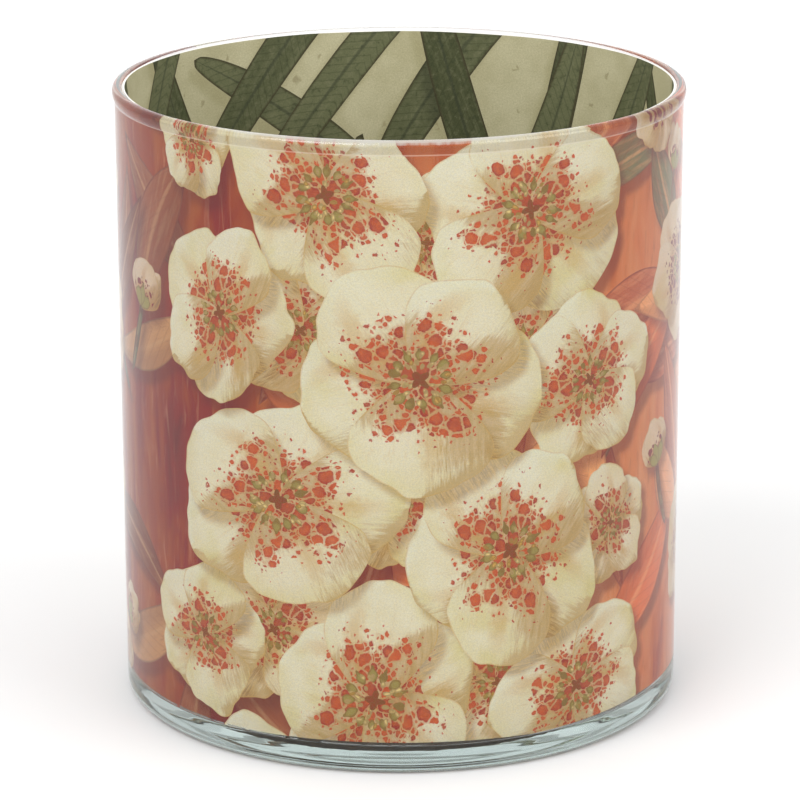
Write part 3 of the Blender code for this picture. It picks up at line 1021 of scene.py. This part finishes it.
    colour = m.mix(m.smooth(kind, 0.4, 0.6), ground, leaf)
    colour = m.mix(m.smooth(kind, 1.4, 1.6), colour, petal)
    colour = m.mix(m.smooth(kind, 2.4, 2.6), colour, heart)

    # printed grain
    grain = m.noise(pos, 3.4, 2, 0.7)
    fine = m.noise(pos, 9.0, 1, 0.5)
    warmth = m.sub(m.noise(m.vec(pos, (1, 1, 1), (31.0, 7.0, 0.0)), 2.4, 3, 0.7), 0.5)
    tone_v = m.add(m.add(m.mul(m.sub(grain, 0.5), 0.40), m.mul(m.sub(fine, 0.5), 0.55)), 1.0)
    colour = m.mix(1.0, colour, m.comb(m.add(tone_v, m.mul(warmth, 0.10)), tone_v, m.sub(tone_v, m.mul(warmth, 0.40))), "MULTIPLY")
    cut = m.smooth(m.add(pv, m.mul(wob, 0.25)), SHEET_TOP - 0.55, SHEET_TOP - 0.35)
    colour = m.mix(m.mul(cut, 0.85), colour, (0.86, 0.84, 0.78))
    # painted shade: the print is darkened behind the rolled lip, with a pale painted highlight line just below it
    nick = m.mul(wob, 0.10)
    painted_lip_shade = m.mul(m.smooth(m.add(pv, nick), 97.56, 97.80), m.smooth(pv, 98.76, 98.42))
    colour = m.mix(m.mul(painted_lip_shade, 0.85), colour, m.mix(1.0, colour, (0.68, 0.64, 0.61), "MULTIPLY"))
    # painted highlight: a pale line along the neck below the lip
    painted_neck_highlight = m.mul(m.smooth(m.add(pv, nick), 97.05, 97.40), m.smooth(m.add(pv, nick), 97.66, 97.54))
    colour = m.mix(m.mul(painted_neck_highlight, 0.42), colour, (0.88, 0.80, 0.70))
    # painted shade: a dark crescent along the lowest edge of the front, tallest in the middle
    off = m.mul(m.sub(pu, math.radians(266.0 - SEAM_PRINT) * PRINT_R), 1.0 / (math.radians(33.0) * PRINT_R))
    line = m.mul(m.math("SUBTRACT", 1.0, m.mul(off, off), clamp=True), 0.66)
    line = m.add(m.add(line, PRINT_LOW - 0.02), m.mul(wob, 0.08))
    painted_front_shade = m.smooth(m.sub(pv, line), 0.04, -0.04)
    colour = m.mix(painted_front_shade, colour, (0.050, 0.035, 0.021))
    # painted shade: the paper's back is dark brown in its lowest few millimetres and off-white above
    back = m.mix(m.smooth(pv, 9.0, 6.5), (0.84, 0.83, 0.79), (0.085, 0.062, 0.040))
    colour = m.mix(m.attr("p_back"), colour, back)
    m.principled(Base_Color=colour, Roughness=0.7, Specular_IOR_Level=0.0)
    return m.material


def lining_material(name="inner_lining_paper", pale=(0.450, 0.415, 0.250), pale2=(0.510, 0.475, 0.300), flecks=0.5,
                    painted_shade_arc=None):
    m = Nodes(name)
    pos, loc = m.attrv("p_pos"), m.attrv("p_loc")
    kind, s, t = m.attr("p_kind"), m.attr("p_s"), m.attr("p_t")
    edge, cast, tone = m.attr("p_edge"), m.attr("p_cast"), m.attr("p_tone")
    wob = m.sub(m.noise(pos, 1.0, 3, 0.6), 0.5)
    blot = m.noise(pos, 0.14, 3, 0.55)
    ground = m.mix(m.smooth(blot, 0.35, 0.65), pale, pale2)
    # hand-inked flecks: short strokes, thinly and unevenly scattered
    jog = m.vadd(pos, m.vscale(m.noise(pos, 0.5, 2, 0.5, colour=True), 3.0))
    fleck = m.voronoi(m.vec(jog, (0.21, 0.15, 1.0)), 1.0, "F1", 1.0, "2D")
    pick, size, _ = m.sep(fleck["Color"])
    spot = m.smooth(m.add(fleck["Distance"], m.mul(wob, 0.16)), m.add(m.mul(size, 0.09), 0.06), m.mul(size, 0.06))
    spot = m.mul(spot, m.math("LESS_THAN", pick, m.smooth(blot, 0.40, 0.62, 0.0, 0.55)))
    ground = m.mix(m.mul(spot, flecks), ground, (0.22, 0.18, 0.085))
    ground = m.mix(m.mul(m.smooth(cast, 0.0, 0.9), 0.45), ground, (0.30, 0.27, 0.13))
    leaf = m.mix(tone, (0.062, 0.070, 0.030), (0.142, 0.150, 0.074))
    stroke = m.noise(m.vec(loc, (0.12, 1.0, 1.0)), 1.0, 3, 0.6)
    leaf = m.mix(m.mul(m.smooth(stroke, 0.45, 0.75), 0.50), leaf, (0.172, 0.176, 0.092))
    mottle = m.noise(pos, 0.8, 4, 0.65)
    leaf = m.mix(m.mul(m.smooth(mottle, 0.50, 0.72), 0.50), leaf, (0.184, 0.184, 0.102))
    leaf = m.mix(m.mul(m.smooth(mottle, 0.47, 0.30), 0.55), leaf, (0.036, 0.046, 0.022))
    x, y, _ = m.sep(loc)
    veins = m.math("ABSOLUTE", m.math("SINE", m.add(m.mul(x, 1.9), m.add(m.mul(m.math("ABSOLUTE", y), -1.6), m.mul(wob, 1.2)))))
    leaf = m.mix(m.mul(m.inv(m.smooth(veins, 0.05, 0.38)), 0.38), leaf, (0.040, 0.048, 0.020))
    rib = m.inv(m.smooth(m.math("ABSOLUTE", m.add(t, m.mul(wob, 0.10))), 0.03, 0.13))
    leaf = m.mix(m.mul(rib, 0.55), leaf, (0.038, 0.045, 0.026))
    rim = m.inv(m.smooth(m.add(edge, m.mul(wob, 0.55)), 0.06, 0.60))
    leaf = m.mix(m.mul(rim, 0.80), leaf, (0.046, 0.036, 0.018))
    leaf = m.mix(m.mul(cast, 0.50), leaf, (0.026, 0.030, 0.016))
    if painted_shade_arc is not None:
        # painted shade: brown round the bent leaf at the front, where the disc is pressed onto the glass
        cx, cy, bow, half, _ = painted_shade_arc
        px, py, _ = m.sep(pos)
        px, py = m.sub(px, 300.0 + cx), m.sub(py, 300.0 + cy)
        ring = m.math("SQRT", m.add(m.mul(px, px), m.mul(py, py)))
        turn = m.mul(m.math("ARCTAN2", px, m.mul(py, -1.0)), 1.0 / 0.74)
        ring = m.add(m.math("ABSOLUTE", m.sub(ring, bow)), m.mul(m.mul(turn, turn), half))
        near = m.mul(m.smooth(m.add(ring, m.mul(wob, 0.6)), half + 0.3, half - 0.3), m.math("LESS_THAN", py, -15.0))
        ground = m.mix(near, ground, (0.78, 0.62, 0.42))
        leaf = m.mix(near, leaf, (0.52, 0.36, 0.19))
    colour = m.mix(m.smooth(kind, 0.4, 0.6), ground, leaf)
    grain = m.noise(pos, 3.4, 2, 0.7)
    fine = m.noise(pos, 9.0, 1, 0.5)
    v = m.add(m.add(m.mul(m.sub(grain, 0.5), 0.60), m.mul(m.sub(fine, 0.5), 0.55)), 1.0)
    colour = m.mix(1.0, colour, m.comb(v, v, v), "MULTIPLY")
    # painted shade: the back is dark brown near the bottom of the sleeve and over the whole back of each disc,
    # off-white elsewhere
    _, height, _ = m.sep(pos)
    low = m.math("MAXIMUM", m.smooth(height, 9.0, 6.5), m.math("GREATER_THAN", height, 150.0))
    back = m.mix(low, (0.84, 0.83, 0.79), (0.085, 0.062, 0.040))
    colour = m.mix(m.attr("p_back"), colour, back)
    normal = m.bump(m.noise(pos, 5.0, 3, 0.6), 0.25, 0.00003)
    m.principled(Base_Color=colour, Roughness=0.62, Specular_IOR_Level=0.2, Normal=normal)
    return m.material


# ---- put together -----------------------------------------------------------------
add_camera()

floor_mesh = bpy.data.meshes.new("floor")
floor_mesh.from_pydata([(-6, -6, -0.00005), (6, -6, -0.00005), (6, 6, -0.00005), (-6, 6, -0.00005)], [], [(0, 1, 2, 3)])
floor = bpy.data.objects.new("floor", floor_mesh)
bpy.context.scene.collection.objects.link(floor)
fl = Nodes("floor")
fl.principled(Base_Color=(0.80, 0.80, 0.80), Roughness=0.8, Specular_IOR_Level=0.2)
floor_mesh.materials.append(fl.material)

world = bpy.data.worlds.new("studio")
world.use_nodes = True
bg = world.node_tree.nodes["Background"]
bg.inputs[0].default_value = (1.0, 1.0, 1.0, 1.0)
bg.inputs[1].default_value = 1.03
bpy.context.scene.world = world
area_light("key", (-0.9, -1.1, 1.3), (0, 0, 0.05), (1.2, 1.2), 18.0)
area_light("fill", (1.2, -0.7, 0.9), (0, 0, 0.05), (1.2, 1.2), 9.5)
area_light("rim", (0.0, 1.25, 0.55), (0, 0, 0.07), (1.2, 0.9), 1.0)
bpy.context.scene.view_settings.view_transform = "Standard"
# light runs a long way inside the thick glass base before it leaves again
bpy.context.scene.cycles.max_bounces = 24
bpy.context.scene.cycles.glossy_bounces = 20
bpy.context.scene.cycles.transmission_bounces = 24

glass = add_glass()
glass.data.materials.append(glass_material())
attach(glass, "root")
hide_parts("glass_tumbler")

span = 2 * math.pi * PRINT_R
sleeve = rolled_sheet("print_sleeve", PRINT_R, PRINT_LOW, SHEET_TOP, SEAM_PRINT,
                      print_shapes(span, SHEET_TOP - PRINT_LOW, PRINT_LOW), True, 1.15)
sleeve.data.materials.append(print_material())
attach(sleeve, "root")
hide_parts("outer_print_sleeve")

span = 2 * math.pi * LINING_R
lining = rolled_sheet("lining_sleeve", LINING_R, LINING_LOW, SHEET_TOP, SEAM_LINING,
                      lining_shapes(span, SHEET_TOP - LINING_LOW, LINING_LOW), False, 1.4)
leaf_paper = lining_material()
lining.data.materials.append(leaf_paper)
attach(lining, "root")
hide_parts("inner_lining_sleeve")

# painted shade: the arc where the base disc is pressed onto the glass and browned round its bent front leaf
shade_arc = (-1.0, 14.1, 32.2, 4.2, 0.09)
base = disc_sheet("base_print", 42.5, FLOOR_Z + 0.06, base_shapes(), False, 1.0, stuck=shade_arc)
base.data.materials.append(lining_material("base_print_paper", (0.80, 0.82, 0.77), (0.83, 0.84, 0.79), 0.0, shade_arc))
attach(base, "root")
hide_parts("base_print_disc")
floor_marks = [s.moved(-60.0) for s in lining_shapes(120, 90, -45, seed=9)]
floor_disc = disc_sheet("floor_lining", 43.1, FLOOR_Z + 0.06 + SHEET + 0.02, floor_marks, True, 1.5)
floor_disc.data.materials.append(leaf_paper)
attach(floor_disc, "root")
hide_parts("floor_lining_disc")
